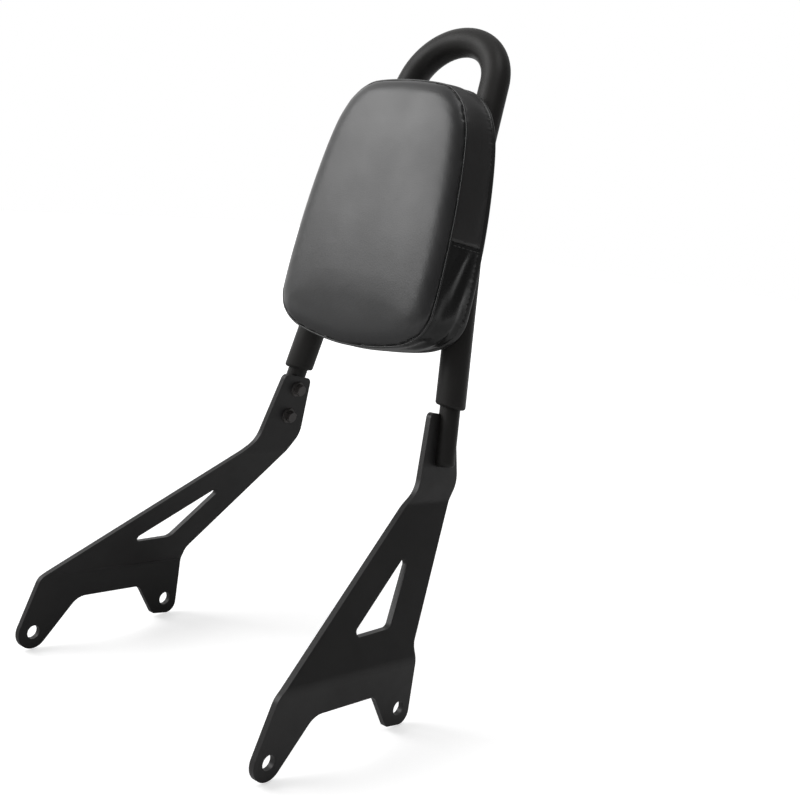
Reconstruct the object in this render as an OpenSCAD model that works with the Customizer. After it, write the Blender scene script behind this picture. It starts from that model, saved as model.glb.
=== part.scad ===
// Motorcycle sissy bar: a bent tube hoop with a backrest pad, on two folded side plates.
// +X is the bike's left, +Y is rearward, +Z is up. The origin lies on the middle plane,
// on the common axis of the two front mounting holes.

/* [Mounting] */
// Distance between the middle planes of the two side plates
plate_span = 245; // [215:1:300]
// Distance between the front and the rear mounting hole
hole_spacing = 119; // [112:0.5:126]
// Diameter of the mounting holes
hole_d = 10; // [6:0.1:12]

/* [Side plates] */
// Thickness of the plate
plate_t = 4; // [3:0.1:5]
// Outer radius of the front mounting tab
tab_r = 12.3; // [10:0.1:15]
// Slope of the front tab's front edge, in degrees from the level
tab_front_slope = 66; // [60:0.5:72]
// Slope of the front tab's rear edge, in degrees from the level
tab_rear_slope = 45; // [40:0.5:55]
// Height of the front shoulder above the holes
shoulder_z = 39.3; // [35:0.1:44]
// Height of the notch between the tabs at its rear end
notch_z = 15.6; // [12:0.1:19]
// Drop of the rear tab's lower corner under the hole
rear_tab_drop = 13.7; // [12:0.1:17]
// Reach of the rear tab behind its hole
rear_tab_reach = 10.5; // [10:0.1:14]
// Height where the plate starts to lean inward, over the front hole
lower_bend_z = 41.4; // [34:0.1:46]
// Height where the lean eases again to follow the leg, over the front hole
upper_bend_z = 137; // [125:0.5:142]
// Fall of both bend lines towards the rear, in degrees
bend_fall = 4.5; // [0:0.1:8]
// Inner radius of the bends
bend_r = 12; // [6:0.5:20]
// Width of the plate's top end in front of the leg's axis
strip_front = 17.7; // [14:0.1:20]
// Width of the plate's top end behind the leg's axis
strip_rear = 11.5; // [10:0.1:15]
// Distance from the tube's rim down to the plate's top end
strip_gap = 6.1; // [4:0.1:9]

/* [Hoop] */
// Outer diameter of the tube
tube_d = 22; // [20:0.1:24]
// Wall of the tube
tube_wall = 2.5; // [1.5:0.1:3]
// Distance from the middle plane to the leg's axis at the rim
rim_x = 77; // [74:0.1:84]
// Distance of the rim behind the front holes
rim_y = 202.9; // [200:0.1:206]
// Height of the rim above the front holes
rim_z = 188.6; // [186:0.1:194]
// Backward lean of the straight legs
leg_lean = 11.7; // [8:0.1:14]
// Backward lean of the hoop's top
top_lean = 24.1; // [20:0.1:30]
// Inward slope of each leg
leg_splay = 8.9; // [7:0.1:9.5]
// Height along the legs where they start leaning further back
kink_s = 182.3; // [176:0.1:190]
// Bend radius where the legs lean further back
kink_r = 70; // [45:1:90]
// Centre radius of the hoop's top arc
arc_r = 40; // [36:0.1:42]

/* [Leg joints] */
// Diameter of the joint bar below the tube
spigot_d = 15; // [14:0.1:16]
// Length of the joint bar below the rim
spigot_l = 43; // [41:0.5:48]
// Length of the joint bar inside the tube
spigot_in = 30; // [20:1:45]
// Distance from the joint bar's axis to its flat
flat_x = 2.5; // [2:0.1:3.5]
// Distance from the rim to the upper plate bolt
bolt_s1 = 15.3; // [14:0.1:17]
// Distance from the rim to the lower plate bolt
bolt_s2 = 37.7; // [34:0.1:38]
// Thread diameter of the plate bolts and the pad screws
bolt_d = 6; // [5:0.1:6]
// Across-flats size of the plate bolts
bolt_af = 8; // [7:0.1:9]
// Diameter of the flange on the plate bolts
flange_d = 12.4; // [11:0.1:13]

/* [Pad] */
// Width of the pad at its widest
pad_w = 146; // [136:1:156]
// Height of the pad along the legs
pad_h = 198; // [186:1:204]
// How much further out the pad's back edge lies than its front seam, on each side
pad_flare = 9.5; // [0:0.5:12]
// How much higher the pad's back lies than its front
back_lift = 2; // [0:0.5:4]
// Height of the pad's lower edge above the rim, along the legs
pad_s = 27; // [24:0.5:36]
// Depth of the pad from its back to the front seam, at its lower edge
pad_depth = 30.7; // [27:0.1:36]
// Angle by which the pad's face leans back more than the legs
pad_taper = 2.2; // [0:0.1:3]
// Rise of the front panel over the seam at the rolled edge
edge_rise = 6.5; // [4:0.1:9]
// Further rise of the front panel to its middle
crown = 1.8; // [0.5:0.1:4]
// Width of the rolled edge
edge_w = 12; // [8:0.5:16]
// Outward bulge of the side band
side_bulge = 1.5; // [0.5:0.1:2.5]
// Height of the cross seam in the side band, along the legs
cross_seam_s = 113; // [90:1:130]
// Thickness of the covering
cover_t = 1.2; // [1:0.1:1.6]
// Thickness of the backing board
board_t = 6; // [5:0.5:9]
// Diameter of the piping
piping_d = 1.8; // [1.2:0.1:4]

/* [Pad straps] */
// Thickness of the two cross straps that carry the pad
strap_t = 4; // [3:0.5:5]
// Width of the cross straps along the legs
strap_w = 25; // [20:1:30]
// Height of the lower strap's middle along the legs
strap_s1 = 68; // [58:1:80]
// Height of the upper strap's middle along the legs
strap_s2 = 158; // [146:1:166]
// Distance between the two pad screws of a strap
screw_gap = 60; // [50:1:66]

/* [Hidden] */
$fn = 96;

slip = 0.05;
tube_r = tube_d / 2;
bore_r = tube_r - tube_wall;
half_span = plate_span / 2;
rim = [rim_y, rim_z];

function unit(v) = v / norm(v);
function along(angle) = [cos(angle), sin(angle)];
function cross2(a, b) = a[0] * b[1] - a[1] * b[0];

// The point where the line through p with direction u meets the line through q with direction v.
function meet(p, u, q, v) = p + u * cross2(q - p, v) / cross2(u, v);

// Round every corner of a polygon. Each point is [y, z, radius].
function bend_in(p, i, r) =
    let (n = len(p), a = [p[(i + n - 1) % n][0], p[(i + n - 1) % n][1]], b = [p[i][0], p[i][1]],
         c = [p[(i + 1) % n][0], p[(i + 1) % n][1]], u = unit(a - b), v = unit(c - b),
         half = acos(u * v) / 2, t = r / tan(half))
    [b + u * t, b + v * t, b + unit(u + v) * r / sin(half), cross2(b - a, c - b), b];

module corner_cap(c, r) {
    intersection() {
        translate(c[2]) circle(r);
        polygon([c[0], c[4], c[1]]);
    }
}

module rounded(p) {
    corners = [for (i = [0 : len(p) - 1]) bend_in(p, i, p[i][2])];
    difference() {
        union() {
            polygon([for (i = [0 : len(p) - 1]) for (k = p[i][2] > 0 ? [0, 1] : [0]) corners[i][k]]);
            for (i = [0 : len(p) - 1]) {
                if (corners[i][3] > 0 && p[i][2] > 0) corner_cap(corners[i], p[i][2]);
            }
        }
        for (i = [0 : len(p) - 1]) {
            if (corners[i][3] < 0 && p[i][2] > 0) corner_cap(corners[i], p[i][2]);
        }
    }
}

// Side plate outline, seen from the bike's left: y rearward, z up, counter-clockwise.
tab_front = along(tab_front_slope);
tab_rear = along(tab_rear_slope);
front_touch = tab_r * [-tab_front[1], tab_front[0]];
rear_touch = tab_r * [tab_rear[1], -tab_rear[0]];
shoulder = front_touch + tab_front * (shoulder_z - front_touch[1]) / tab_front[1];
notch_rear = [hole_spacing - 26.2, notch_z];
notch_front = meet(rear_touch, tab_rear, notch_rear, along(-3.8));
tab_corner = meet(front_touch, tab_front, rear_touch, tab_rear);
neck_front = [168.3, 132.9];
neck_rear = [213.1, 133.5];
heel = [hole_spacing + 14.3, 40.8];
strip_dir = [cos(leg_lean), -sin(leg_lean)];
strip_mid = rim - strip_gap * [sin(leg_lean), cos(leg_lean)];
strip_a = strip_mid - strip_front * strip_dir;
strip_b = strip_mid + strip_rear * strip_dir;

plate_outline = [
    [tab_corner[0], tab_corner[1], tab_r],
    [notch_front[0], notch_front[1], 15],
    [notch_rear[0], notch_rear[1], 8],
    [hole_spacing - 11.4, 3.5 - rear_tab_drop, 4.5],
    [hole_spacing + rear_tab_reach, -rear_tab_drop, 8.5],
    [heel[0], heel[1], 10],
    [neck_rear[0], neck_rear[1], 18],
    [strip_b[0], strip_b[1], 5],
    [strip_a[0], strip_a[1], 4.5],
    [neck_front[0], neck_front[1], 20],
    [shoulder[0], shoulder[1], 10]
];
window_outline = [[72.6, 56.7, 2.9], [112.5, 55.1, 7], [154, 101.4, 3]];

// Cross-section of the folded plate: x outward, w square to the bend lines.
strip_angle = atan(tan(leg_splay) / cos(leg_lean - bend_fall));
strip_off = flat_x + plate_t / 2;
rim_w = rim_y * sin(bend_fall) + rim_z * cos(bend_fall);
strip_at = [rim_x, rim_w] - strip_off * [cos(strip_angle), sin(strip_angle)];
w1 = lower_bend_z * cos(bend_fall);
w2 = upper_bend_z * cos(bend_fall);
fold = [
    [half_span, w1 - 90],
    [half_span, w1],
    [strip_at[0] + (strip_at[1] - w2) * tan(strip_angle), w2],
    strip_at + 30 * [-sin(strip_angle), cos(strip_angle)]
];

function side(v) = [-v[1], v[0]];

fold_dirs = [for (i = [0 : 2]) unit(fold[i + 1] - fold[i])];

// One face of the folded plate, h to the left of the fold line, with the radius of each bend.
function face(h, r1, r2) =
    let (q = [for (i = [0 : 2]) fold[i] + side(fold_dirs[i]) * h],
         b1 = meet(q[0], fold_dirs[0], q[1], fold_dirs[1]), b2 = meet(q[1], fold_dirs[1], q[2], fold_dirs[2]),
         top = fold[3] + side(fold_dirs[2]) * h)
    [[q[0][0], q[0][1], 0], [b1[0], b1[1], r1], [b2[0], b2[1], r2], [top[0], top[1], 0]];

module section() {
    outer = face(-plate_t / 2, bend_r + plate_t, bend_r);
    inner = face(plate_t / 2, bend_r, bend_r + plate_t);
    rounded(concat(outer, [for (i = [3 : -1 : 0]) inner[i]]));
}

// Moves what is drawn with +Z along the leg's plane to the rim, with the legs' lean.
module leg_plane() {
    translate([0, rim_y, rim_z]) rotate([-leg_lean, 0, 0]) children();
}

// Puts what is drawn round the Z axis on the left leg, with its x axis square to the plate.
strip_twist = atan2(-sin(strip_angle) * sin(leg_lean - bend_fall),
                    cos(strip_angle) * cos(leg_splay)
                    + sin(strip_angle) * cos(leg_lean - bend_fall) * sin(leg_splay));
module left_leg() {
    leg_plane() translate([rim_x, 0, 0]) rotate([0, -leg_splay, 0]) rotate([0, 0, strip_twist]) children();
}

module both_bolts() {
    for (s = [bolt_s1, bolt_s2]) translate([0, 0, -s]) rotate([0, 90, 0]) children();
}

module side_plate() {
    difference() {
        intersection() {
            rotate([90, 0, 90]) linear_extrude(half_span + plate_t) difference() {
                rounded(plate_outline);
                rounded(window_outline);
            }
            translate([0, 100 * cos(bend_fall), -100 * sin(bend_fall)])
                rotate([90 - bend_fall, 0, 0]) linear_extrude(300, center = true) section();
        }
        for (y = [0, hole_spacing]) translate([half_span - 10, y, 0]) rotate([0, 90, 0]) cylinder(h = 20, d = hole_d);
        left_leg() both_bolts() cylinder(h = 30, d = bolt_d + 0.4, center = true);
    }
}

module side_plate_left() { color([0.07, 0.07, 0.08]) side_plate(); }
module side_plate_right() { color([0.07, 0.07, 0.08]) mirror([1, 0, 0]) side_plate(); }

// Left half of the hoop's path as a solid bar of radius r: leg, kink, upper leg, half the arc.
kink_turn = acos(pow(sin(leg_splay), 2) + pow(cos(leg_splay), 2) * cos(top_lean - leg_lean));
kink_cut = kink_r * tan(kink_turn / 2);
leg_l = kink_s / cos(leg_splay);
kink_x = rim_x - kink_s * tan(leg_splay);
arc_h = (kink_x * cos(leg_splay) - arc_r) / sin(leg_splay);
upper_l = (arc_h + arc_r * sin(leg_splay)) / cos(leg_splay);
more_lean = top_lean - leg_lean;
kink_way = [-sin(leg_splay) * cos(leg_splay) * (1 - cos(more_lean)), cos(leg_splay) * sin(more_lean)];
kink_dir = atan2(kink_way[1], kink_way[0]);

// Bend that starts at the origin along +Z and turns towards +X.
module bend_start(turn, r, tube) {
    translate([r, 0, 0]) rotate([-90, 0, 0]) rotate([0, 0, 180])
        rotate_extrude(angle = turn) translate([r, 0]) circle(tube);
}

module after_bend(turn, r) {
    translate([r, 0, 0]) rotate([0, turn, 0]) translate([-r, 0, 0]) children();
}

// A hair-thin raised line, left where a straight length runs into a bend.
line_h = 0.2;
module joint_line(r) {
    translate([0, 0, -line_h / 2]) cylinder(h = line_h, r = r + 0.02);
}

module half_hoop(r, start) {
    short = line_h / 4;
    leg_plane() translate([rim_x, 0, 0]) rotate([0, -leg_splay, 0]) {
        translate([0, 0, start]) cylinder(h = leg_l - kink_cut - start - short, r = r);
        translate([0, 0, leg_l - kink_cut]) rotate([0, 0, kink_dir]) {
            joint_line(r);
            bend_start(kink_turn, kink_r, r);
            after_bend(kink_turn, kink_r) rotate([0, 0, 180 - kink_dir]) {
                joint_line(r);
                translate([0, 0, short]) cylinder(h = upper_l - kink_cut - 2 * short, r = r);
                translate([0, 0, upper_l - kink_cut]) {
                    joint_line(r);
                    bend_start(93 - leg_splay, arc_r, r);
                }
            }
        }
    }
}

module half_tube() {
    intersection() {
        difference() {
            half_hoop(tube_r, -6);
            half_hoop(bore_r, -8);
            leg_plane() translate([0, -100, -50]) cube([300, 200, 50]);
        }
        cube([200, 500, 600]);
    }
}

module hoop_tube() {
    color([0.06, 0.06, 0.07]) {
        half_tube();
        mirror([1, 0, 0]) half_tube();
    }
}

// Joint bar: shank inside the tube, neck with a flat for the plate, rounded lower end.
module spigot() {
    round_r = 3;
    neck_r = spigot_d / 2;
    difference() {
        union() {
            left_leg() translate([0, 0, -spigot_l]) rotate_extrude() {
                translate([0, round_r]) square([neck_r, spigot_l + 4 - round_r]);
                square([neck_r - round_r, round_r]);
                intersection() {
                    translate([neck_r - round_r, round_r]) circle(round_r);
                    square([neck_r, round_r]);
                }
            }
            intersection() {
                left_leg() translate([0, 0, -6]) cylinder(h = spigot_in + 6, r = bore_r - slip);
                leg_plane() translate([0, -100, 0]) cube([200, 200, 60]);
            }
        }
        left_leg() translate([-flat_x - 20, -20, -spigot_l - 5]) cube([20, 40, spigot_l + 6 - strip_gap]);
        left_leg() both_bolts() translate([0, 0, -flat_x - 1]) cylinder(h = flat_x + 6, d = bolt_d + 2 * slip);
    }
}

module spigot_left() { color([0.08, 0.08, 0.09]) spigot(); }
module spigot_right() { color([0.08, 0.08, 0.09]) mirror([1, 0, 0]) spigot(); }

// Flanged hexagon bolt whose head lies on the plate's inner face.
module plate_bolt(s) {
    seat = flat_x + plate_t;
    left_leg() translate([-seat, 0, -s]) rotate([0, 90, 0]) {
        cylinder(h = seat + 4.5, d = bolt_d);
        translate([0, 0, -1.3]) cylinder(h = 1.3, d1 = flange_d - 0.8, d2 = flange_d);
        intersection() {
            translate([0, 0, -5.5]) cylinder(h = 4.5, d = bolt_af / cos(30), $fn = 6);
            translate([0, 0, -5.5]) cylinder(h = 4.5, d1 = bolt_af, d2 = bolt_af + 9);
        }
    }
}

module plate_bolt_upper_left() { color([0.1, 0.1, 0.11]) plate_bolt(bolt_s1); }
module plate_bolt_lower_left() { color([0.1, 0.1, 0.11]) plate_bolt(bolt_s2); }
module plate_bolt_upper_right() { color([0.1, 0.1, 0.11]) mirror([1, 0, 0]) plate_bolt(bolt_s1); }
module plate_bolt_lower_right() { color([0.1, 0.1, 0.11]) mirror([1, 0, 0]) plate_bolt(bolt_s2); }

// Pad in the legs' plane: x across, z along the legs, -y forward. Its back lies on the straps.
pad_back = tube_r + 0.2;
board_back = pad_back + 1;
board_front = board_back + board_t;
pad_mid = pad_s + pad_h / 2;

// Half outline of the pad from the top to the bottom: [part of the half width, part of the height].
half_outline = [
    [0, 1], [0.42, 0.99], [0.59, 0.965], [0.7, 0.928], [0.76, 0.895], [0.84, 0.825], [0.91, 0.7],
    [0.97, 0.52], [1, 0.325], [1, 0.18], [0.98, 0.13], [0.9, 0.08], [0.7, 0.036], [0.35, 0.01], [0, 0]
];

function mirrored(i) = i < 0 ? [-half_outline[-i][0], half_outline[-i][1]]
    : i > len(half_outline) - 1
        ? [-half_outline[2 * len(half_outline) - 2 - i][0], half_outline[2 * len(half_outline) - 2 - i][1]]
        : half_outline[i];
function curve(a, b, c, d, t) =
    0.5 * (2 * b + (c - a) * t + (2 * a - 5 * b + 4 * c - d) * t * t + (3 * b - a - 3 * c + d) * t * t * t);
steps = 3;
right_side = [
    for (i = [0 : len(half_outline) - 2]) for (k = [0 : steps - 1])
        curve(mirrored(i - 1), mirrored(i), mirrored(i + 1), mirrored(i + 2), k / steps)
];
loop_pts = concat(right_side, [[0, 0]], [for (i = [len(right_side) - 1 : -1 : 1]) [-right_side[i][0], right_side[i][1]]]);

// Pad outline drawn in by d, as [x, s].
function ring(d, back = 0) = [for (p = loop_pts)
    [p[0] * (pad_w / 2 + back * pad_flare - d), pad_mid + back * back_lift + (p[1] - 0.5) * (pad_h - 2 * d)]];
function seam_n(s) = pad_back + pad_depth - (s - pad_s) * tan(pad_taper);
function face_ring(d, rise) = [for (p = ring(d)) [p[0], -seam_n(p[1]) - rise, p[1]]];
function mid_ring(d) = [for (p = ring(d, 0.5)) [p[0], -(pad_back + seam_n(p[1])) / 2, p[1]]];
// Outline at the depth n, on the straight side between the front seam and the back edge.
function flat_ring(d, n) = [for (p = loop_pts)
    let (s = pad_mid + (p[1] - 0.5) * (pad_h - 2 * d), back = (seam_n(s) - n) / (seam_n(s) - pad_back))
    [p[0] * (pad_w / 2 + back * pad_flare - d), -n, s + back * back_lift]];

// Skin through rings of points, closed by a flat face at each end, or back to the first ring.
module loft(rings, closed = false) {
    m = len(rings[0]);
    n = len(rings);
    sides = [for (j = [0 : closed ? n - 1 : n - 2]) for (i = [0 : m - 1])
        [j * m + i, j * m + (i + 1) % m, ((j + 1) % n) * m + (i + 1) % m, ((j + 1) % n) * m + i]];
    ends = closed ? [] : [[for (i = [m - 1 : -1 : 0]) i], [for (i = [0 : m - 1]) (n - 1) * m + i]];
    polyhedron(points = [for (r = rings) for (p = r) p], faces = concat(sides, ends), convexity = 6);
}

roll = [for (a = [0 : 18 : 90]) [edge_w * (1 - cos(a)), edge_rise * sin(a)]];
rise_w = 0.65 * (pad_w / 2 - edge_w);
rise_more = [for (k = [0.35, 0.7, 1]) [edge_w + rise_w * k, edge_rise + crown * (1 - pow(1 - k, 2))]];
face_profile = concat(roll, rise_more);
inner_profile = [for (p = face_profile)
    [cover_t + p[0] * (edge_w - cover_t / 2) / edge_w, p[1] * (edge_rise - cover_t) / edge_rise]];

module pad_front_panel() {
    color([0.16, 0.16, 0.17]) leg_plane() loft(concat(
        [for (i = [len(inner_profile) - 1 : -1 : 0]) face_ring(inner_profile[i][0], inner_profile[i][1])],
        [for (p = face_profile) face_ring(p[0], p[1])]));
}

module gusset_band() {
    leg_plane() loft([
        flat_ring(cover_t, pad_back), mid_ring(cover_t - side_bulge), face_ring(cover_t, -0.01),
        face_ring(0, -0.01), mid_ring(-side_bulge), flat_ring(0, pad_back)
    ], closed = true);
}

module above(s) {
    block = pad_w + pad_h;
    leg_plane() translate([-block / 2, -block / 2, s]) cube(block);
}

module pad_gusset_upper() {
    color([0.12, 0.12, 0.13]) intersection() {
        gusset_band();
        above(cross_seam_s);
    }
}

module pad_gusset_lower() {
    color([0.1, 0.1, 0.11]) difference() {
        gusset_band();
        above(cross_seam_s);
    }
}

// Round cord along the front seam, swept round the outline.
cord_sides = 8;
cord_rise = -0.2;
function cord_ring(p, q, r, d) =
    let (out = unit([p[1] - q[1], q[0] - p[0]]))
    [for (a = [0 : 360 / cord_sides : 359])
        [p[0] + out[0] * (d + r * cos(a)), -seam_n(p[1] + out[1] * d) - cord_rise + r * sin(a),
         p[1] + out[1] * (d + r * cos(a))]];

module pad_piping() {
    path = ring(0);
    n = len(path);
    r = piping_d / 2;
    rings = [for (i = [0 : n - 1])
        cord_ring(path[i], path[i] + path[(i + 1) % n] - path[(i + n - 1) % n], r, r + 5 * slip)];
    color([0.14, 0.14, 0.15]) leg_plane() loft(rings, closed = true);
}

module screw_places(s) {
    leg_plane() for (x = [-0.5, 0.5]) translate([x * screw_gap, 0, s]) rotate([90, 0, 0]) children();
}

module all_screw_places() {
    screw_places(strap_s1) children();
    screw_places(strap_s2) children();
}

module pad_back_sheet() {
    color([0.09, 0.09, 0.1]) difference() {
        leg_plane() loft([flat_ring(cover_t + slip, pad_back), flat_ring(cover_t + slip, board_back)]);
        all_screw_places() translate([0, 0, pad_back - 2]) cylinder(h = 6, d = bolt_d + 0.5);
    }
}

insert_d = bolt_d + 2.5;
insert_flange_d = insert_d + 10.5;
insert_flange_t = 1.4;
module pad_board() {
    color([0.35, 0.27, 0.18]) difference() {
        leg_plane() loft([flat_ring(cover_t + slip, board_back), flat_ring(cover_t + slip, board_front)]);
        all_screw_places() translate([0, 0, board_back - 2]) cylinder(h = board_t + 4, d = insert_d + 2 * slip);
    }
}

module pad_foam() {
    color([0.75, 0.72, 0.6]) difference() {
        leg_plane() loft(concat([flat_ring(cover_t + slip, board_front)],
            [mid_ring(cover_t + slip - side_bulge)],
            [for (p = inner_profile) face_ring(p[0] + slip, p[1] - slip)]));
        all_screw_places() translate([0, 0, board_front - 1]) cylinder(h = insert_flange_t + 3.6, d = insert_flange_d + 0.5);
    }
}

// Straps lie between the legs, cut to the tubes' round.
module cross_strap(s) {
    function reach(h) = rim_x - h * tan(leg_splay) - 4;
    lo = s - strap_w / 2;
    hi = s + strap_w / 2;
    difference() {
        leg_plane() rotate([90, 0, 0]) translate([0, 0, pad_back - strap_t]) linear_extrude(strap_t)
            polygon([[-reach(lo), lo], [reach(lo), lo], [reach(hi), hi], [-reach(hi), hi]]);
        half_hoop(tube_r + slip / 2, 0);
        mirror([1, 0, 0]) half_hoop(tube_r + slip / 2, 0);
        screw_places(s) cylinder(h = 30, d = bolt_d + 0.6);
    }
}

module cross_strap_lower() { color([0.07, 0.07, 0.08]) cross_strap(strap_s1); }
module cross_strap_upper() { color([0.07, 0.07, 0.08]) cross_strap(strap_s2); }

washer_t = 1.6;
strap_rear = pad_back - strap_t;
module washer() {
    translate([0, 0, strap_rear - washer_t]) difference() {
        cylinder(h = washer_t, d = 2 * bolt_d);
        translate([0, 0, -1]) cylinder(h = washer_t + 2, d = bolt_d + 0.4);
    }
}

module pad_washers_lower() { color([0.6, 0.6, 0.62]) screw_places(strap_s1) washer(); }
module pad_washers_upper() { color([0.6, 0.6, 0.62]) screw_places(strap_s2) washer(); }

// Button-head screw with a hexagon socket, put in from the rear.
module pad_screw() {
    head_z = strap_rear - washer_t;
    head_h = 3.3;
    translate([0, 0, head_z]) cylinder(h = board_front + 1 - head_z, d = bolt_d);
    difference() {
        translate([0, 0, head_z - head_h]) intersection() {
            cylinder(h = head_h, d = 10.5);
            translate([0, 0, 6.1]) sphere(6.1);
        }
        translate([0, 0, head_z - head_h - 1]) cylinder(h = 3, d = 4 / cos(30), $fn = 6);
    }
}

module pad_screws_lower() { color([0.1, 0.1, 0.11]) screw_places(strap_s1) pad_screw(); }
module pad_screws_upper() { color([0.1, 0.1, 0.11]) screw_places(strap_s2) pad_screw(); }

// Flanged thread insert pressed into the board from the foam side.
module board_insert() {
    difference() {
        union() {
            translate([0, 0, board_back + 0.5]) cylinder(h = board_t - 0.5, d = insert_d);
            translate([0, 0, board_front]) cylinder(h = insert_flange_t, d = insert_flange_d);
        }
        translate([0, 0, board_back - 1]) cylinder(h = board_t + 5, d = bolt_d + 2 * slip);
    }
}

module board_inserts_lower() { color([0.7, 0.7, 0.68]) screw_places(strap_s1) board_insert(); }
module board_inserts_upper() { color([0.7, 0.7, 0.68]) screw_places(strap_s2) board_insert(); }

hoop_tube();
spigot_left();
spigot_right();
side_plate_left();
side_plate_right();
plate_bolt_upper_left();
plate_bolt_lower_left();
plate_bolt_upper_right();
plate_bolt_lower_right();
cross_strap_lower();
cross_strap_upper();
pad_back_sheet();
pad_board();
pad_foam();
pad_front_panel();
pad_gusset_upper();
pad_gusset_lower();
pad_piping();
pad_screws_lower();
pad_screws_upper();
pad_washers_lower();
pad_washers_upper();
board_inserts_lower();
board_inserts_upper();
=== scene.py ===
import math

import bpy
from mathutils import Matrix, Vector


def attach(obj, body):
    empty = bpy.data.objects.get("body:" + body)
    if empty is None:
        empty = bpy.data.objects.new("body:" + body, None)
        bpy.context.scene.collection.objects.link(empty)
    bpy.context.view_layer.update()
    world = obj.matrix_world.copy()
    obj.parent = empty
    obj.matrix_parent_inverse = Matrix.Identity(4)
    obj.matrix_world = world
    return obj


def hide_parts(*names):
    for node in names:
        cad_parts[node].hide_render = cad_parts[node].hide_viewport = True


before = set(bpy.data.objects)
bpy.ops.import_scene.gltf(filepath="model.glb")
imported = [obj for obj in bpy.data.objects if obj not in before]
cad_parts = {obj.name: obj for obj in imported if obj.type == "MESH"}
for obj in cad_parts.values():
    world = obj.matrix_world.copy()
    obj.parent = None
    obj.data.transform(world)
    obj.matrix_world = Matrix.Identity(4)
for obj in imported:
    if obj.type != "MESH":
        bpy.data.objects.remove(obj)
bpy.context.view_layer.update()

MM = 0.001
ACROSS = Vector((1, 0, 0))

# Sizes in millimetres and degrees. RIM is the middle of the left leg's lower end, and heights along
# the legs start there. The spare length past each end of the tube is sawn off.
LEG_LEAN, TOP_LEAN, LEG_SPLAY = 11.7, 24.1, 8.9
RIM = (77.0, 202.9, 188.6)
KINK_S, KINK_R, ARC_R = 182.3, 70.0, 40.0
TUBE_R, TUBE_WALL = 11.0, 2.5
SPARE = 8

# The pad's back and its board's front, forward of the legs' plane, and the pad's size at its front seam.
PAD_BACK, BOARD_FRONT = 11.2, 17.9
PAD_W, PAD_H, PAD_S, PAD_DEPTH, PAD_TAPER = 146.0, 198.0, 27.0, 30.7, 2.2
# How much wider a side and how much higher the pad's back edge is.
FLARE, BACK_LIFT = 9.5, 2.0
CROSS_SEAM = 113.0
# The front's rolled edge, its crown, and where the outline stops being drawn in evenly.
EDGE_W, EDGE_RISE, CROWN, ROLL = 12.0, 6.5, 1.8, 1.35
EDGE_END, SLOW_ROLL_H, FACE_SHRINK = 14.0, 60, 60.0
FOAM_GAP = 2.6
# The strip on each side of a seam that the cloth step holds.
SEAM_HOLD = 2.2
WELT_R, WELT_IN, WELT_BACK, WELT_FLARE = 0.7, 0.2, 1.0, 0.03
HEM_BACK = 0.04
STITCHES, STITCH_DROP = 7, 2.6

# The pad's outline, from the middle of the top down the right side: parts of the half width and the height.
HALF_OUTLINE = [(0, 1), (0.42, 0.99), (0.59, 0.965), (0.7, 0.928), (0.76, 0.895),
                (0.84, 0.825), (0.91, 0.7), (0.97, 0.52), (1, 0.325), (1, 0.18),
                (0.98, 0.13), (0.9, 0.08), (0.7, 0.036), (0.35, 0.01), (0, 0)]
# Rings of the pad's side: part of the depth from back to front, and bulge in millimetres.
SIDE_RINGS = ((0.0, -1.0), (0.03, 0.0), (0.12, 0.5), (0.3, 1.2), (0.5, 1.4), (0.7, 1.0), (0.88, 0.3))
FACE_RINGS = (0.15, 0.35, 0.6, 0.85)
# Section of the hem round the board's back edge: part of the pad's depth, and millimetres outwards.
HEM_SECTION = ((0.14, -0.4), (0.11, 0.75), (0.05, 0.95), (0.012, 0.7),
               (-0.004, 0.1), (-0.004, -5), (0.02, -5), (0.03, -0.9))

# Fine sizes, in metres.
RIM_ROUND = 0.0022
VOXEL = 0.0035
COVER_WALL, SEAM_GROOVE = 0.001, 0.0009
# The swell: pressure, frames, rounds of smoothing, the share that is kept and its limit in metres.
PRESSURE, SWELL_FRAMES, SWELL_ROUNDS = 4.0, 20, 25
SWELL_SHARE, SWELL_CAP = 0.4, 0.0012
# The folds lie between two parts of the pad's depth.
FOLD_FROM, FOLD_TO, FOLD_DEPTH = 0.12, 0.93, 0.00065
STITCH_R, STITCH_LENGTH, STITCH_ROUND = 0.0003, 0.0024, 0.00022
MERGE = 0.00001


def turned(angle):
    return math.sin(math.radians(angle)), math.cos(math.radians(angle))


SIN_LEAN, COS_LEAN = turned(LEG_LEAN)


def at_leg(x, n, s):
    """A point given across, forward of the legs' plane and up along it, in metres."""
    return Vector((x, RIM[1] + s * SIN_LEAN - n * COS_LEAN, RIM[2] + s * COS_LEAN + n * SIN_LEAN)) * MM


def leg_place(p):
    """A point in the scene as (across, forward of the legs' plane, up along it), in millimetres."""
    y, z = p[1] / MM - RIM[1], p[2] / MM - RIM[2]
    return p[0] / MM, -y * COS_LEAN + z * SIN_LEAN, y * SIN_LEAN + z * COS_LEAN


# ---------------------------------------------------------------- material helpers

def new_material(name):
    mat = bpy.data.materials.new(name)
    mat.use_nodes = True
    tree = mat.node_tree
    shader = tree.nodes["Principled BSDF"]
    coords = tree.nodes.new("ShaderNodeTexCoord")
    return mat, tree, shader, coords.outputs["Object"]


def noise(tree, where, scale, detail=4.0):
    node = tree.nodes.new("ShaderNodeTexNoise")
    node.inputs["Scale"].default_value = scale
    node.inputs["Detail"].default_value = detail
    node.inputs["Roughness"].default_value = 0.55
    tree.links.new(where, node.inputs["Vector"])
    return node.outputs["Fac"]


def cells(tree, where, scale):
    node = tree.nodes.new("ShaderNodeTexVoronoi")
    node.inputs["Scale"].default_value = scale
    tree.links.new(where, node.inputs["Vector"])
    return node.outputs["Distance"]


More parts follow.
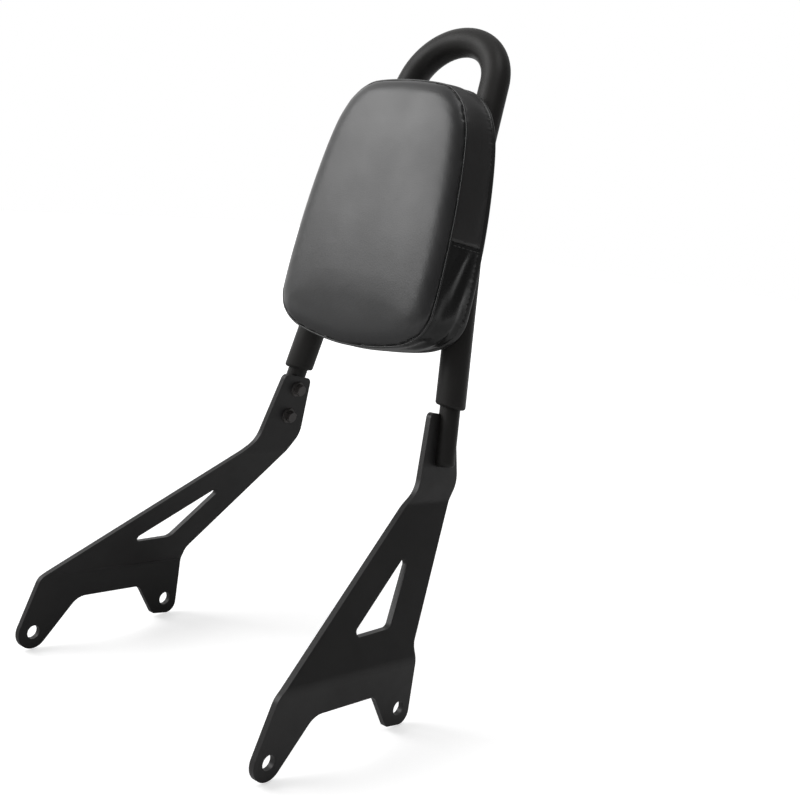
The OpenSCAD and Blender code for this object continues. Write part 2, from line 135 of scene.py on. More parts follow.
def spread(tree, value, low, high, start=0.3, end=0.7):
    """Stretch the part of a value between start and end over low to high."""
    node = tree.nodes.new("ShaderNodeMapRange")
    node.inputs["From Min"].default_value = start
    node.inputs["From Max"].default_value = end
    node.inputs["To Min"].default_value = low
    node.inputs["To Max"].default_value = high
    tree.links.new(value, node.inputs["Value"])
    return node.outputs["Result"]


def combined(tree, operation, one, other):
    node = tree.nodes.new("ShaderNodeMath")
    node.operation = operation
    tree.links.new(one, node.inputs[0])
    tree.links.new(other, node.inputs[1])
    return node.outputs[0]


def masked(tree, value, mask):
    return combined(tree, "MULTIPLY", value, mask)


def larger(tree, one, other):
    return combined(tree, "MAXIMUM", one, other)


def mixed(tree, value):
    """A colour mix driven by a value."""
    node = tree.nodes.new("ShaderNodeMix")
    node.data_type = "RGBA"
    tree.links.new(value, node.inputs["Factor"])
    return node


def two_colours(tree, value, dark, light):
    node = mixed(tree, value)
    node.inputs["A"].default_value = (*dark, 1)
    node.inputs["B"].default_value = (*light, 1)
    return node.outputs["Result"]


def bump(tree, height, depth, strength=1.0, under=None):
    node = tree.nodes.new("ShaderNodeBump")
    node.inputs["Distance"].default_value = depth
    node.inputs["Strength"].default_value = strength
    tree.links.new(height, node.inputs["Height"])
    if under:
        tree.links.new(under, node.inputs["Normal"])
    return node.outputs["Normal"]


def surface(tree, shader, tone, colours, sheen, rough, relief):
    """Link the tone between two colours, the roughness between two levels, and the relief."""
    tree.links.new(two_colours(tree, tone, *colours), shader.inputs["Base Color"])
    tree.links.new(spread(tree, sheen, *rough), shader.inputs["Roughness"])
    tree.links.new(relief, shader.inputs["Normal"])


# ---------------------------------------------------------------- materials

def powder_coat(name, dark, light, rough, shine, grain=1500.0, grain_depth=0.00003):
    """Baked powder on steel: a fine orange-peel skin with slow changes of tone and sheen."""
    mat, tree, shader, where = new_material(name)
    tone = spread(tree, noise(tree, where, 22.0, 3.0), 0, 1)
    peel = bump(tree, noise(tree, where, grain, 2.0), grain_depth)
    waves = bump(tree, noise(tree, where, 240.0, 2.0), 0.00004, 0.6, peel)
    sheen = noise(tree, where, 60.0, 5.0)
    surface(tree, shader, tone, (dark, light), sheen, (rough - 0.04, rough + 0.05), waves)
    shader.inputs["Specular IOR Level"].default_value = shine
    return mat


def vinyl(name, dark, light, rough, shine, grain=900.0, depth=0.00006, coat=0.0):
    """Imitation leather: small rounded cells pressed in the skin, and a soft change of sheen."""
    mat, tree, shader, where = new_material(name)
    tone = spread(tree, noise(tree, where, 14.0, 3.0), 0, 1)
    skin = bump(tree, cells(tree, where, grain), depth, 0.5)
    waves = bump(tree, noise(tree, where, 90.0, 3.0), 0.00012, 0.5, skin)
    sheen = noise(tree, where, 35.0, 4.0)
    surface(tree, shader, tone, (dark, light), sheen, (rough - 0.03, rough + 0.05), waves)
    shader.inputs["Specular IOR Level"].default_value = shine
    shader.inputs["Coat Weight"].default_value = coat
    shader.inputs["Coat Roughness"].default_value = 0.25
    shader.inputs["Sheen Weight"].default_value = 0.05
    return mat


def bare_metal(name, dark, light, rough):
    mat, tree, shader, where = new_material(name)
    tone = spread(tree, noise(tree, where, 300.0, 4.0), 0, 1)
    scratches = bump(tree, noise(tree, where, 900.0, 2.0), 0.00002)
    sheen = noise(tree, where, 500.0, 4.0)
    surface(tree, shader, tone, (dark, light), sheen, (rough - 0.06, rough + 0.1), scratches)
    shader.inputs["Metallic"].default_value = 1.0
    return mat


def plywood(name, dark, light):
    mat, tree, shader, where = new_material(name)
    stretch = tree.nodes.new("ShaderNodeMapping")
    stretch.inputs["Scale"].default_value = (40.0, 40.0, 600.0)
    tree.links.new(where, stretch.inputs["Vector"])
    grain = noise(tree, stretch.outputs["Vector"], 1.0, 6.0)
    surface(tree, shader, spread(tree, grain, 0, 1), (dark, light), grain, (0.65, 0.85), bump(tree, grain, 0.0001))
    return mat


def foam_block(name, dark, light):
    mat, tree, shader, where = new_material(name)
    holes = cells(tree, where, 700.0)
    surface(tree, shader, holes, (dark, light), noise(tree, where, 80.0), (0.85, 0.95), bump(tree, holes, 0.0004))
    return mat


def woven(name, dark, light):
    mat, tree, shader, where = new_material(name)
    weave = []
    for axis in ("X", "Z"):
        wave = tree.nodes.new("ShaderNodeTexWave")
        wave.bands_direction = axis
        wave.inputs["Scale"].default_value = 260.0
        tree.links.new(where, wave.inputs["Vector"])
        weave.append(wave.outputs["Fac"])
    cloth = larger(tree, *weave)
    surface(tree, shader, cloth, (dark, light), noise(tree, where, 60.0), (0.75, 0.9), bump(tree, cloth, 0.0001))
    return mat


tube_black = powder_coat("tube_black", (0.019, 0.0182, 0.0176), (0.026, 0.025, 0.024), 0.44, 0.18)
plate_black = powder_coat("plate_black", (0.012, 0.0114, 0.0114), (0.018, 0.0172, 0.0172), 0.42, 0.35)
bolt_black = powder_coat("bolt_black", (0.060, 0.055, 0.053), (0.090, 0.083, 0.080), 0.35, 0.5)
front_vinyl = vinyl("front_vinyl", (0.018, 0.018, 0.0185), (0.024, 0.024, 0.0245), 0.34, 0.55)
# Side vinyl with painted light: its colour is a little lighter than the front's, standing in for light from the
# right on the pad's side.
side_vinyl_painted_light = vinyl("side_vinyl_painted_light", (0.022, 0.0213, 0.0213), (0.028, 0.0272, 0.0272), 0.36, 0.45)
lower_vinyl = vinyl("lower_vinyl", (0.008, 0.008, 0.008), (0.012, 0.012, 0.012), 0.28, 0.3, coat=0.1)
piping_vinyl = vinyl("piping_vinyl", (0.012, 0.012, 0.012), (0.016, 0.016, 0.016), 0.3, 0.5)
thread = vinyl("thread", (0.03, 0.03, 0.03), (0.05, 0.05, 0.05), 0.35, 0.5, grain=4000.0, depth=0.00002)
zinc = bare_metal("zinc", (0.55, 0.55, 0.56), (0.68, 0.68, 0.7), 0.3)
board_wood = plywood("board_wood", (0.33, 0.22, 0.12), (0.52, 0.38, 0.23))
foam = foam_block("foam", (0.55, 0.5, 0.36), (0.8, 0.76, 0.62))
back_cloth = woven("back_cloth", (0.012, 0.012, 0.013), (0.03, 0.03, 0.032))


# ---------------------------------------------------------------- modelling helpers

def pick_only(obj):
    bpy.ops.object.select_all(action="DESELECT")
    obj.select_set(True)
    bpy.context.view_layer.objects.active = obj


def edit(mode="VERT"):
    bpy.ops.object.mode_set(mode="EDIT")
    bpy.ops.mesh.select_mode(type=mode)
    bpy.ops.mesh.select_all(action="DESELECT")


def edit_all(obj):
    pick_only(obj)
    edit()
    bpy.ops.mesh.select_all(action="SELECT")


def leave_edit():
    bpy.ops.object.mode_set(mode="OBJECT")


def start_selection(obj, mode):
    """Deselect every part of the mesh, so that faces or edges can be selected in code."""
    pick_only(obj)
    edit(mode)
    leave_edit()


def face_outwards(obj, merge=0.0):
    """Merge the points that lie together, if asked, and turn all faces outwards."""
    edit_all(obj)
    if merge:
        bpy.ops.mesh.remove_doubles(threshold=merge)
    bpy.ops.mesh.normals_make_consistent(inside=False)
    leave_edit()


def bake(obj):
    """Leave the object at the origin, unturned and unscaled."""
    pick_only(obj)
    bpy.ops.object.transform_apply(location=True, rotation=True, scale=True)


def apply_modifiers(obj):
    pick_only(obj)
    for m in list(obj.modifiers):
        bpy.ops.object.modifier_apply(modifier=m.name)


def thicken(obj, name, wall):
    """Give a skin a wall on its inner side."""
    solid = obj.modifiers.new(name, "SOLIDIFY")
    solid.thickness = wall
    solid.offset = -1
    return solid


def smooth(obj, angle):
    pick_only(obj)
    bpy.ops.object.shade_smooth_by_angle(angle=math.radians(angle))


def give_material(obj, material):
    obj.data.materials.clear()
    obj.data.materials.append(material)


def finish_piece(obj, material, slot, *nodes):
    give_material(obj, material)
    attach(obj, "root")
    if nodes:
        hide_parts(*nodes)


# ---------------------------------------------------------------- CAD pieces that keep their shape

def dress(node, material, edge):
    """Give a CAD piece its coat, and a small round on its sharp edges."""
    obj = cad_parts[node]
    give_material(obj, material)
    if edge:
        rounding = obj.modifiers.new("edge_round", "BEVEL")
        rounding.width = edge
        rounding.segments = 3
        rounding.limit_method = "ANGLE"
        rounding.angle_limit = math.radians(35)
        rounding.harden_normals = True


for side in ("left", "right"):
    dress("side_plate_" + side, plate_black, 0.0005)
    dress("spigot_" + side, tube_black, 0.0004)
    for level in ("upper", "lower"):
        dress(f"plate_bolt_{level}_{side}", bolt_black, 0.0003)
for level in ("lower", "upper"):
    dress("cross_strap_" + level, tube_black, 0.0005)
    dress("pad_screws_" + level, bolt_black, 0.0003)
    dress("pad_washers_" + level, zinc, 0.0002)
    dress("board_inserts_" + level, zinc, 0)
dress("pad_board", board_wood, 0)
dress("pad_back_sheet", back_cloth, 0)


# ---------------------------------------------------------------- hoop

def extrude_straight(way, length, parts):
    for _ in range(parts):
        bpy.ops.mesh.extrude_region_move(TRANSFORM_OT_translate={"value": way * length * MM / parts})


def mirrored(v):
    return Vector((-v.x, v.y, v.z))


def bend_hoop():
    """One tube: up the left leg, round the kink, over the top and down the right leg."""
    splay_sin, splay_cos = turned(LEG_SPLAY)
    top_sin, top_cos = turned(TOP_LEAN)
    low_up = Vector((0, SIN_LEAN, COS_LEAN))
    top_up = Vector((0, top_sin, top_cos))
    leg_way = -ACROSS * splay_sin + low_up * splay_cos
    upper_way = -ACROSS * splay_sin + top_up * splay_cos
    kink_angle = leg_way.angle(upper_way)
    kink_cut = KINK_R * math.tan(kink_angle / 2)
    rim = Vector(RIM)
    leg_length = KINK_S / splay_cos
    kink = rim + leg_way * leg_length
    arc_height = (kink.x * splay_cos - ARC_R) / splay_sin
    upper_length = (arc_height + ARC_R * splay_sin) / splay_cos - kink_cut
    bend_axis = leg_way.cross(upper_way).normalized()
    bend_centre = kink - leg_way * kink_cut + bend_axis.cross(leg_way) * KINK_R
    arc_centre = Vector((0, kink.y, kink.z)) + top_up * arc_height
    arc_axis = upper_way.cross(-ACROSS).normalized()
    down_upper, down_leg = -mirrored(upper_way), -mirrored(leg_way)
    down_axis = down_upper.cross(down_leg).normalized()
    leg_straight = leg_length - kink_cut + SPARE

    start = rim - leg_way * SPARE
    bpy.ops.mesh.primitive_circle_add(vertices=48, radius=TUBE_R * MM, location=start * MM,
                                      rotation=leg_way.to_track_quat("Z", "Y").to_euler())
    hoop = bpy.context.object
    hoop.name = "hoop"
    bake(hoop)
    edit_all(hoop)
    # Spin turns against its axis, so each axis is given the other way round.
    extrude_straight(leg_way, leg_straight, 6)
    bpy.ops.mesh.spin(steps=6, angle=kink_angle, center=bend_centre * MM, axis=-bend_axis)
    extrude_straight(upper_way, upper_length, 2)
    bpy.ops.mesh.spin(steps=40, angle=math.radians(180 - 2 * LEG_SPLAY), center=arc_centre * MM, axis=-arc_axis)
    extrude_straight(down_upper, upper_length, 2)
    bpy.ops.mesh.spin(steps=6, angle=kink_angle, center=mirrored(bend_centre) * MM, axis=-down_axis)
    extrude_straight(down_leg, leg_straight, 6)
    # Both ends are sawn square to the legs' plane.
    bpy.ops.mesh.select_all(action="SELECT")
    bpy.ops.mesh.bisect(plane_co=rim * MM, plane_no=low_up, clear_inner=True)
    leave_edit()
    face_outwards(hoop, MERGE)
    thicken(hoop, "wall", TUBE_WALL * MM).use_even_offset = True
    apply_modifiers(hoop)

    def on_outer_rim(p):
        side = math.copysign(1, p.x)
        from_middle = p - Vector((side * RIM[0], RIM[1], RIM[2])) * MM
        leg = Vector((side * leg_way.x, leg_way.y, leg_way.z))
        return abs((p - rim * MM).dot(low_up)) < 0.00002 and from_middle.cross(leg).length > 0.0105

    start_selection(hoop, "EDGE")
    for e in hoop.data.edges:
        e.select = all(on_outer_rim(hoop.data.vertices[i].co) for i in e.vertices)
    bpy.ops.object.mode_set(mode="EDIT")
    bpy.ops.mesh.bevel(offset=RIM_ROUND, segments=4, profile=0.5, clamp_overlap=True)
    leave_edit()
    smooth(hoop, 40)
    finish_piece(hoop, tube_black, "frame_coat", "hoop_tube")


bend_hoop()


# ---------------------------------------------------------------- pad outline

def curve(a, b, c, d, t):
    """Smooth curve from b to c, with a before it and d after it."""
    return 0.5 * (2 * b + (c - a) * t + (2 * a - 5 * b + 4 * c - d) * t * t
                  + (3 * b - a - 3 * c + d) * t ** 3)


def outline(steps=8):
    """The pad's outline as (across, up) parts of the half width and the height, going round from the top."""
    pts = HALF_OUTLINE
    pts = [(-pts[1][0], pts[1][1])] + pts + [(-pts[-2][0], pts[-2][1])]
    right = []
    for a, b, c, d in zip(pts, pts[1:], pts[2:], pts[3:]):
        for k in range(steps):
            right.append(tuple(curve(a[j], b[j], c[j], d[j], k / steps) for j in (0, 1)))
    return right + [(0, 0)] + [(-x, v) for x, v in reversed(right[1:])]


def even_outline(count):
    """The same outline in millimetres, with its points an equal way apart."""
    pts = [(x * PAD_W / 2, PAD_S + v * PAD_H) for x, v in outline()]
    pts.append(pts[0])
    lengths = [math.dist(a, b) for a, b in zip(pts, pts[1:])]
    step, out, i, run = sum(lengths) / count, [], 0, 0.0
    for k in range(count):
        want = k * step
        while run + lengths[i] < want:
            run += lengths[i]
            i += 1
        t = (want - run) / lengths[i]
        out.append(tuple(pts[i][j] + (pts[i + 1][j] - pts[i][j]) * t for j in (0, 1)))
    return out


RING = even_outline(160)
PAD_MID = PAD_S + PAD_H / 2


def drawn_in(d, back=0.0):
    """The outline drawn in by d millimetres; it widens from the front seam (back 0) to the back edge (1)."""
    ring = [(x * (1 + 2 * back * FLARE / PAD_W), s + back * BACK_LIFT) for x, s in RING]
    out = []
    for i, (x, s) in enumerate(ring):
        ax, a_s = ring[i - 1]
        bx, b_s = ring[(i + 1) % len(ring)]
        tx, ts = bx - ax, b_s - a_s
        length = math.hypot(tx, ts)
        out.append((x + ts / length * d, s - tx / length * d))
    return out


def seam_n(s):
    """How far forward the front seam lies at a height."""
    return PAD_BACK + PAD_DEPTH - (s - PAD_S) * math.tan(math.radians(PAD_TAPER))


def pad_depth(s):
    return seam_n(s) - PAD_BACK


def face_points(d, rise):
    """The front face drawn in by d and raised. Past its edge the outline only shrinks towards the middle,
    and towards the bottom the edge rolls over more slowly."""
    edge = drawn_in(min(d, EDGE_END))
    wide = drawn_in(min(d, EDGE_END) + 0.75 * min(d, EDGE_W))
    keep = 1 - max(d - EDGE_END, 0) / FACE_SHRINK
    out = []
    for (x, s), (wide_x, wide_s) in zip(edge, wide):
        low = min(1, max(0, (PAD_S + SLOW_ROLL_H - s) / SLOW_ROLL_H)) ** 1.5
        x, s = x + (wide_x - x) * low, s + (wide_s - s) * low
        s = PAD_MID + (s - PAD_MID) * (keep * 0.6 + 0.4)
        out.append(at_leg(x * keep, seam_n(s) + rise, s))
    return out


def pad_rings(inset=0.0):
    """The pad drawn ring after ring, from the back sheet's edge over the side to the middle of the front."""
    rings = []
    for depth, bulge in SIDE_RINGS:
        ring = drawn_in(inset - bulge, 1 - depth)
        rings.append([at_leg(x, PAD_BACK + 0.3 + depth * pad_depth(s), s) for x, s in ring])
    for angle in range(0, 91, 15):
        side, front = turned(angle)
        rings.append(face_points(inset + EDGE_W * (1 - front ** ROLL), EDGE_RISE * side ** ROLL - inset))
    for part in FACE_RINGS:
        crown = CROWN * (1 - (1 - part) ** 2)
        rings.append(face_points(inset + EDGE_W + 42 * part, EDGE_RISE + crown - inset))
    return rings


# ---------------------------------------------------------------- pad skins

def ring_circle(name, points):
    """A circle primitive whose points are moved onto the given ones."""
    bpy.ops.mesh.primitive_circle_add(vertices=len(points), radius=0.05, location=(0, 0, 0))
    obj = bpy.context.object
    obj.name = name
    for v, p in zip(obj.data.vertices, points):
        v.co = p
    return obj


def extrude_to(obj, points):
    """Extrude the last ring of edges once and move it onto the given points."""
    bpy.ops.mesh.extrude_region_move(TRANSFORM_OT_translate={"value": (0, 0, 0)})
    leave_edit()
    for v, p in zip(obj.data.vertices[-len(points):], points):
        v.co = p
    bpy.ops.object.mode_set(mode="EDIT")


def shell(name, rings, closed=False):
    """Skin drawn ring after ring, from back to front, with its ends closed if asked."""
    obj = ring_circle(name, rings[0])
    edit_all(obj)
    if closed:
        bpy.ops.mesh.edge_face_add()
        bpy.ops.mesh.select_all(action="SELECT")
    for r in rings[1:]:
        extrude_to(obj, r)
    if closed:
        bpy.ops.mesh.edge_face_add()
    leave_edit()
    return obj


def hold_seams(pad):
    """A group of the points that the seams and the back hold."""
    sewn = pad.vertex_groups.new(name="sewn")
    for v in pad.data.vertices:
        x, n, s = leg_place(v.co)
        on_seam = abs(n - seam_n(s)) < SEAM_HOLD
        on_cross = abs(s - CROSS_SEAM) < SEAM_HOLD and n < seam_n(s) - 1
        if n < PAD_BACK + 3 or on_seam or on_cross:
            sewn.add([v.index], 1.0, "REPLACE")
    return {v.index for v in pad.data.vertices if any(g.group == sewn.index for g in v.groups)}


def blow_up(pad):
    """Run the cloth under pressure, and leave its last shape in the mesh."""
    cloth = pad.modifiers.new("cloth", "CLOTH")
    cloth.settings.use_pressure = True
    cloth.settings.uniform_pressure_force = PRESSURE
    cloth.settings.effector_weights.gravity = 0
    cloth.settings.vertex_group_mass = "sewn"
    cloth.settings.quality = 6
    cloth.point_cache.frame_start, cloth.point_cache.frame_end = 1, SWELL_FRAMES
    scene = bpy.context.scene
    for f in range(1, SWELL_FRAMES + 1):
        scene.frame_set(f)
    pick_only(pad)
    bpy.ops.object.modifier_apply(modifier="cloth")
    scene.frame_set(1)


def swell(pad):
    """Swell the cover a little, as its foam does. Only the slow part is kept, because the cover is taut."""
    held = hold_seams(pad)
    rest = [v.co.copy() for v in pad.data.vertices]
    blow_up(pad)
    near = [[] for _ in rest]
    for e in pad.data.edges:
        i, k = e.vertices
        near[i].append(k)
        near[k].append(i)
    moved = [v.co - p for v, p in zip(pad.data.vertices, rest)]
    for _ in range(SWELL_ROUNDS):
        moved = [Vector() if i in held else sum((moved[k] for k in near[i]), Vector()) / len(near[i])
                 for i in range(len(rest))]
    for v, p, away in zip(pad.data.vertices, rest, moved):
        away *= SWELL_SHARE
        if away.length > SWELL_CAP:
            away *= SWELL_CAP / away.length
        v.co = p + away


def square_up_back(obj):
    """Pull the side out to the outline over the board's edge, where the voxels rounded it off."""
    middle = PAD_MID + BACK_LIFT
    edge = sorted((math.atan2(s - middle, x), math.hypot(x, s - middle)) for x, s in drawn_in(0.0, 1.0))
    for v in obj.data.vertices:
        x, n, s = leg_place(v.co)
        if n > PAD_BACK + 8 or n < PAD_BACK - 1:
            continue
        angle, reach = math.atan2(s - middle, x), math.hypot(x, s - middle)
        want = min(edge, key=lambda e: abs(e[0] - angle))[1] + 0.3
        back = (seam_n(s) - n) / pad_depth(s)
        want -= (1 - back) * FLARE * abs(x) / (PAD_W / 2 + FLARE)
        if want * 0.95 < reach < want:
            v.co = at_leg(x * want / reach, n, middle + (s - middle) * want / reach)


def crease_lower_band(obj):
    """Lengthwise folds where the lower band was pulled tight over the corner of the foam."""
    for v in obj.data.vertices:
        x, n, s = leg_place(v.co)
        deep = (n - PAD_BACK) / pad_depth(s)
        if not FOLD_FROM < deep < FOLD_TO or s > CROSS_SEAM:
            continue
        fade = min(1, (deep - FOLD_FROM) / 0.2, (FOLD_TO - deep) / 0.15) * min(1, (CROSS_SEAM - s) / 12)
        fade *= 0.25 + 0.75 * min(1, max(0, (abs(x) - 35) / 25))
        fold = math.sin(2 * math.pi * (deep * 2.1 + 0.25 * math.sin(s / 17 + x / 60) + s / 130))
        fold += 0.5 * math.sin(2 * math.pi * (deep * 3.7 - 0.2 * math.sin(s / 11) + s / 75 + x / 90))
        v.co += v.normal * (fold * fade * FOLD_DEPTH)


def cut_along(obj, point, line):
    """Cut the whole skin along the plane that holds the point, the line and the way across."""
    edit_all(obj)
    bpy.ops.mesh.bisect(plane_co=point, plane_no=ACROSS.cross(line).normalized())
    leave_edit()


def part_off(obj, name, test):
    """Take the faces whose middle passes the test away as a piece of their own."""
    start_selection(obj, "FACE")
    for f in obj.data.polygons:
        f.select = test(*leg_place(f.center))
    bpy.ops.object.mode_set(mode="EDIT")
    bpy.ops.mesh.separate(type="SELECTED")
    leave_edit()
    new = [o for o in bpy.context.selected_objects if o != obj][0]
    new.name = name
    new.data.name = name
    return new


def tuck_in_edge(obj):
    """Turn the panel's sewn edges in by a hair, so that each seam shows as a fine groove."""
    edit_all(obj)
    bpy.ops.mesh.remove_doubles(threshold=0.0003)
    bpy.ops.mesh.region_to_loop()
    leave_edit()
    normals = {v.index: v.normal.copy() for v in obj.data.vertices if v.select}
    for i, normal in normals.items():
        obj.data.vertices[i].co -= normal * SEAM_GROOVE
    obj.data.update()


# ---------------------------------------------------------------- pad pieces

def make_foam():
    """The foam block, on the board and just inside the cover."""
    rings = pad_rings(FOAM_GAP)[3:]
    rings.insert(0, [at_leg(x, BOARD_FRONT + 0.1, s) for x, s in drawn_in(FOAM_GAP, 0.8)])
    block = shell("foam_block", rings, closed=True)
    face_outwards(block)
    smooth(block, 50)
    finish_piece(block, foam, "foam", "pad_foam")


def make_pad():
    """The cover: one skin, then three panels that meet in the front seam and the cross seam."""
    pad = shell("pad_cover", pad_rings(), closed=True)
    face_outwards(pad)
    remesh = pad.modifiers.new("voxels", "REMESH")
    remesh.mode = "VOXEL"
    remesh.voxel_size = VOXEL
    even = pad.modifiers.new("even", "SMOOTH")
    even.factor, even.iterations = 0.5, 4
    apply_modifiers(pad)
    swell(pad)
    finer = pad.modifiers.new("finer", "SUBSURF")
    finer.levels = finer.render_levels = 1
    apply_modifiers(pad)
    square_up_back(pad)
    crease_lower_band(pad)
    cut_along(pad, at_leg(0, seam_n(0), 0), at_leg(0, seam_n(200), 200) - at_leg(0, seam_n(0), 0))
    cut_along(pad, at_leg(0, 0, CROSS_SEAM), at_leg(0, 1, 0) - at_leg(0, 0, 0))
    band_upper = part_off(pad, "pad_band_upper", lambda x, n, s: n < seam_n(s) and s > CROSS_SEAM)
    band_lower = part_off(pad, "pad_band_lower", lambda x, n, s: n < seam_n(s) and s <= CROSS_SEAM)
    pad.name = "pad_front"
    for piece in (pad, band_upper, band_lower):
        tuck_in_edge(piece)
        thicken(piece, "cover", COVER_WALL)
        apply_modifiers(piece)
        smooth(piece, 50)
    finish_piece(pad, front_vinyl, "vinyl_front", "pad_front_panel")
    # The upper band gets the side vinyl with painted light from the right.
    finish_piece(band_upper, side_vinyl_painted_light, "vinyl_side", "pad_gusset_upper")
    finish_piece(band_lower, lower_vinyl, "vinyl_side", "pad_gusset_lower")


def welt_rings(sides=8):
    """Rings of the round cord that lies in the front seam."""
    rings = []
    for k in range(sides):
        side, top = turned(360 * k / sides)
        rings.append([at_leg(x, seam_n(s) - WELT_BACK + WELT_R * side, s)
                      for x, s in drawn_in(WELT_IN - WELT_R * top, WELT_FLARE)])
    return rings + [rings[0]]


def hem_rings():
    """Rings of the strip that wraps the back edge of the board."""
    rings = [[at_leg(x, PAD_BACK - HEM_BACK + depth * pad_depth(s), s) for x, s in drawn_in(-out, 1 - depth)]
             for depth, out in HEM_SECTION]
    return rings + [rings[0]]


def make_piping():
    """Thin round welt sewn in the front seam, and the hem round the back edge, as one piece."""
    cord = shell("piping", welt_rings())
    hem = shell("hem", hem_rings())
    pick_only(cord)
    hem.select_set(True)
    bpy.ops.object.join()
    face_outwards(cord, MERGE)
    smooth(cord, 60)
    finish_piece(cord, piping_vinyl, "vinyl_piping", "pad_piping")


def stitch_pattern():
    """One short stitch with rounded ends, standing up."""
    bpy.ops.mesh.primitive_cylinder_add(vertices=10, radius=STITCH_R, depth=STITCH_LENGTH)
    pattern = bpy.context.object
    start_selection(pattern, "FACE")
    for f in pattern.data.polygons:
        f.select = abs(f.normal.z) > 0.9
    bpy.ops.object.mode_set(mode="EDIT")
    bpy.ops.mesh.bevel(offset=STITCH_ROUND, segments=3, affect="EDGES")
    leave_edit()
    return pattern


def make_stitches():
    """Short stitches just under the cross seam, on both sides of the pad."""
    pattern = stitch_pattern()
    height = CROSS_SEAM - STITCH_DROP
    half_width = min((abs(s - height), x) for x, s in drawn_in(0.0, 0.5) if x > 0)[1]
    stitches = []
    for k in range(STITCHES):
        depth = 0.16 + 0.115 * k
        # The row follows the side's flare and its bulge.
        x = half_width + (0.5 - depth) * FLARE + 1.25 - 2.2 * (depth - 0.5) ** 2
        for side in (-1, 1):
            stitch = pattern.copy()
            stitch.data = pattern.data.copy()
            bpy.context.collection.objects.link(stitch)
            stitch.location = at_leg(side * x, PAD_BACK + depth * pad_depth(height), height)
            along = at_leg(-side * FLARE, pad_depth(height), 0) - at_leg(0, 0, 0)
            stitch.rotation_euler = along.to_track_quat("Z", "Y").to_euler()
            stitches.append(stitch)
    bpy.data.objects.remove(pattern)
    pick_only(stitches[0])
    for stitch in stitches:
        stitch.select_set(True)
    bpy.ops.object.join()
    row = bpy.context.object
    row.name = "seam_stitches"
    bake(row)
    smooth(row, 50)
    finish_piece(row, thread, "vinyl_side")


make_foam()
make_pad()
make_piping()
make_stitches()


# ---------------------------------------------------------------- floor, light, camera

FLOOR_Z = -0.0139
BACKDROP_WAY = (-0.94, 0.17, 0.30)
CAMERA_AT = (592.2, -482.6, 356.8)
CAMERA_RIGHT, CAMERA_UP = (0.7570, 0.6458, 0.1000), (-0.1991, 0.0821, 0.9766)
CAMERA_AHEAD = (-0.6224, 0.7591, -0.1907)


def grey(level):
    return level, level, level


def mirror_rays(tree, path):
    return larger(tree, path.outputs["Is Glossy Ray"], path.outputs["Is Transmission Ray"])


def make_floor():
    """Pale floor: white to the camera where nothing shades it. Its bounce is held back on the near side."""
    bpy.ops.mesh.primitive_plane_add(size=8, location=(0, 0, FLOOR_Z))
    floor = bpy.context.object
    floor.name = "floor"
    mat, tree, shader, where = new_material("floor_white")
    path = tree.nodes.new("ShaderNodeLightPath")
    across = tree.nodes.new("ShaderNodeSeparateXYZ")
    tree.links.new(where, across.inputs["Vector"])
    away = tree.nodes.new("ShaderNodeVectorMath")
    away.operation = "LENGTH"
    tree.links.new(where, away.inputs[0])

    grain = spread(tree, noise(tree, where, 3.0), 0, 1)
    shown = two_colours(tree, grain, grey(0.74), grey(0.76))
    bounce = spread(tree, across.outputs["X"], 0, 1, -0.25, 0.2)
    either = mixed(tree, path.outputs["Is Camera Ray"])
    tree.links.new(two_colours(tree, bounce, grey(0.26), grey(0.80)), either.inputs["A"])
    tree.links.new(shown, either.inputs["B"])
    tree.links.new(either.outputs["Result"], shader.inputs["Base Color"])
    shader.inputs["Roughness"].default_value = 0.6

    distance = away.outputs["Value"]
    lit = masked(tree, path.outputs["Is Camera Ray"], spread(tree, distance, 0.55, 1.0, 0.4, 2.0))
    reflected = masked(tree, mirror_rays(tree, path), spread(tree, distance, 0.0, 1.0, 0.8, 2.0))
    shader.inputs["Emission Color"].default_value = (1, 1, 1, 1)
    tree.links.new(larger(tree, lit, reflected), shader.inputs["Emission Strength"])
    floor.data.materials.append(mat)


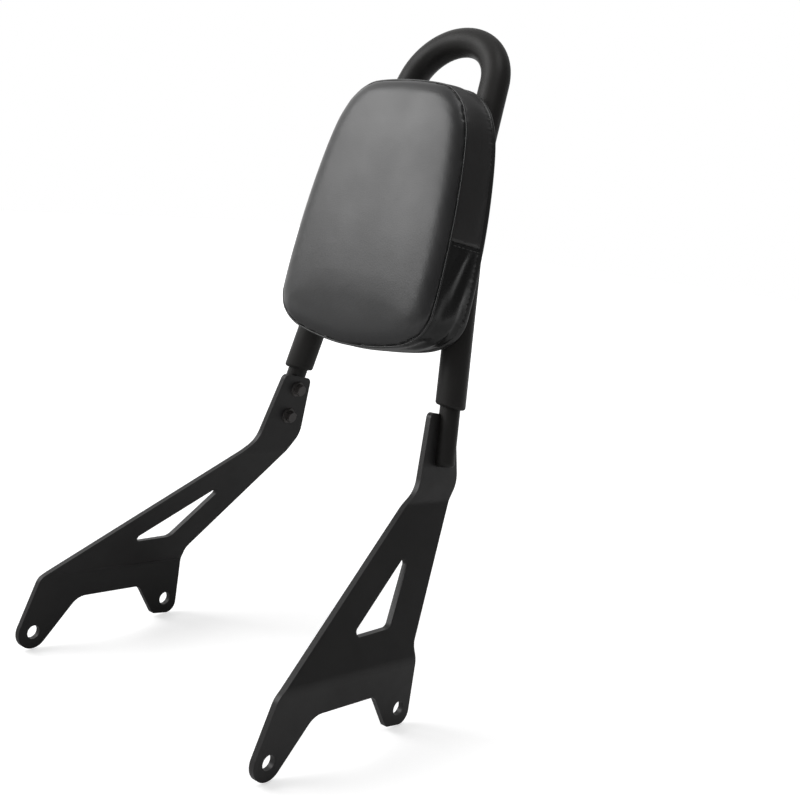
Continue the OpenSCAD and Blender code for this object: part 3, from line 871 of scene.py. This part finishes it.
def area_light(name, place, aim, size, power):
    bpy.ops.object.light_add(type="AREA", location=place)
    lamp = bpy.context.object
    lamp.name = name
    lamp.data.shape = "RECTANGLE"
    lamp.data.size, lamp.data.size_y = size
    lamp.data.energy = power
    lamp.rotation_euler = (Vector(aim) - Vector(place)).to_track_quat("-Z", "Y").to_euler()


def studio_world():
    """White backdrop behind the bar and a dim room on the camera's side; plain white to the camera itself."""
    world = bpy.data.worlds.new("studio")
    bpy.context.scene.world = world
    world.use_nodes = True
    tree = world.node_tree
    facing = tree.nodes.new("ShaderNodeVectorMath")
    facing.operation = "DOT_PRODUCT"
    facing.inputs[1].default_value = BACKDROP_WAY
    tree.links.new(tree.nodes.new("ShaderNodeTexCoord").outputs["Generated"], facing.inputs[0])
    backdrop = facing.outputs["Value"]
    level = spread(tree, backdrop, 0.13, 0.6, -0.3, 0.6)
    path = tree.nodes.new("ShaderNodeLightPath")
    reflected = masked(tree, mirror_rays(tree, path), spread(tree, backdrop, 0.0, 1.0, 0.35, 0.9))
    seen = larger(tree, path.outputs["Is Camera Ray"], reflected)
    tree.links.new(larger(tree, seen, level), tree.nodes["Background"].inputs["Strength"])
    tree.nodes["Background"].inputs["Color"].default_value = (1, 1, 1, 1)


def make_camera():
    data = bpy.data.cameras.new("camera")
    cam = bpy.data.objects.new("camera", data)
    bpy.context.scene.collection.objects.link(cam)
    data.sensor_width = 36.0
    data.lens = 54.95
    data.clip_start, data.clip_end = 0.01, 50
    turn = Matrix((CAMERA_RIGHT, CAMERA_UP, -Vector(CAMERA_AHEAD))).transposed()
    cam.rotation_mode = "QUATERNION"
    cam.rotation_quaternion = turn.to_quaternion()
    cam.location = Vector(CAMERA_AT) * MM
    bpy.context.scene.camera = cam


make_floor()
studio_world()
area_light("key_softbox", (-0.84, -0.78, 1.13), (0, 0.19, 0.32), (1.2, 1.0), 17)
area_light("top_softbox", (0.4, 0.2, 1.5), (0, 0.15, 0.25), (0.6, 0.6), 3)
make_camera()
bpy.context.scene.view_settings.view_transform = "Standard"
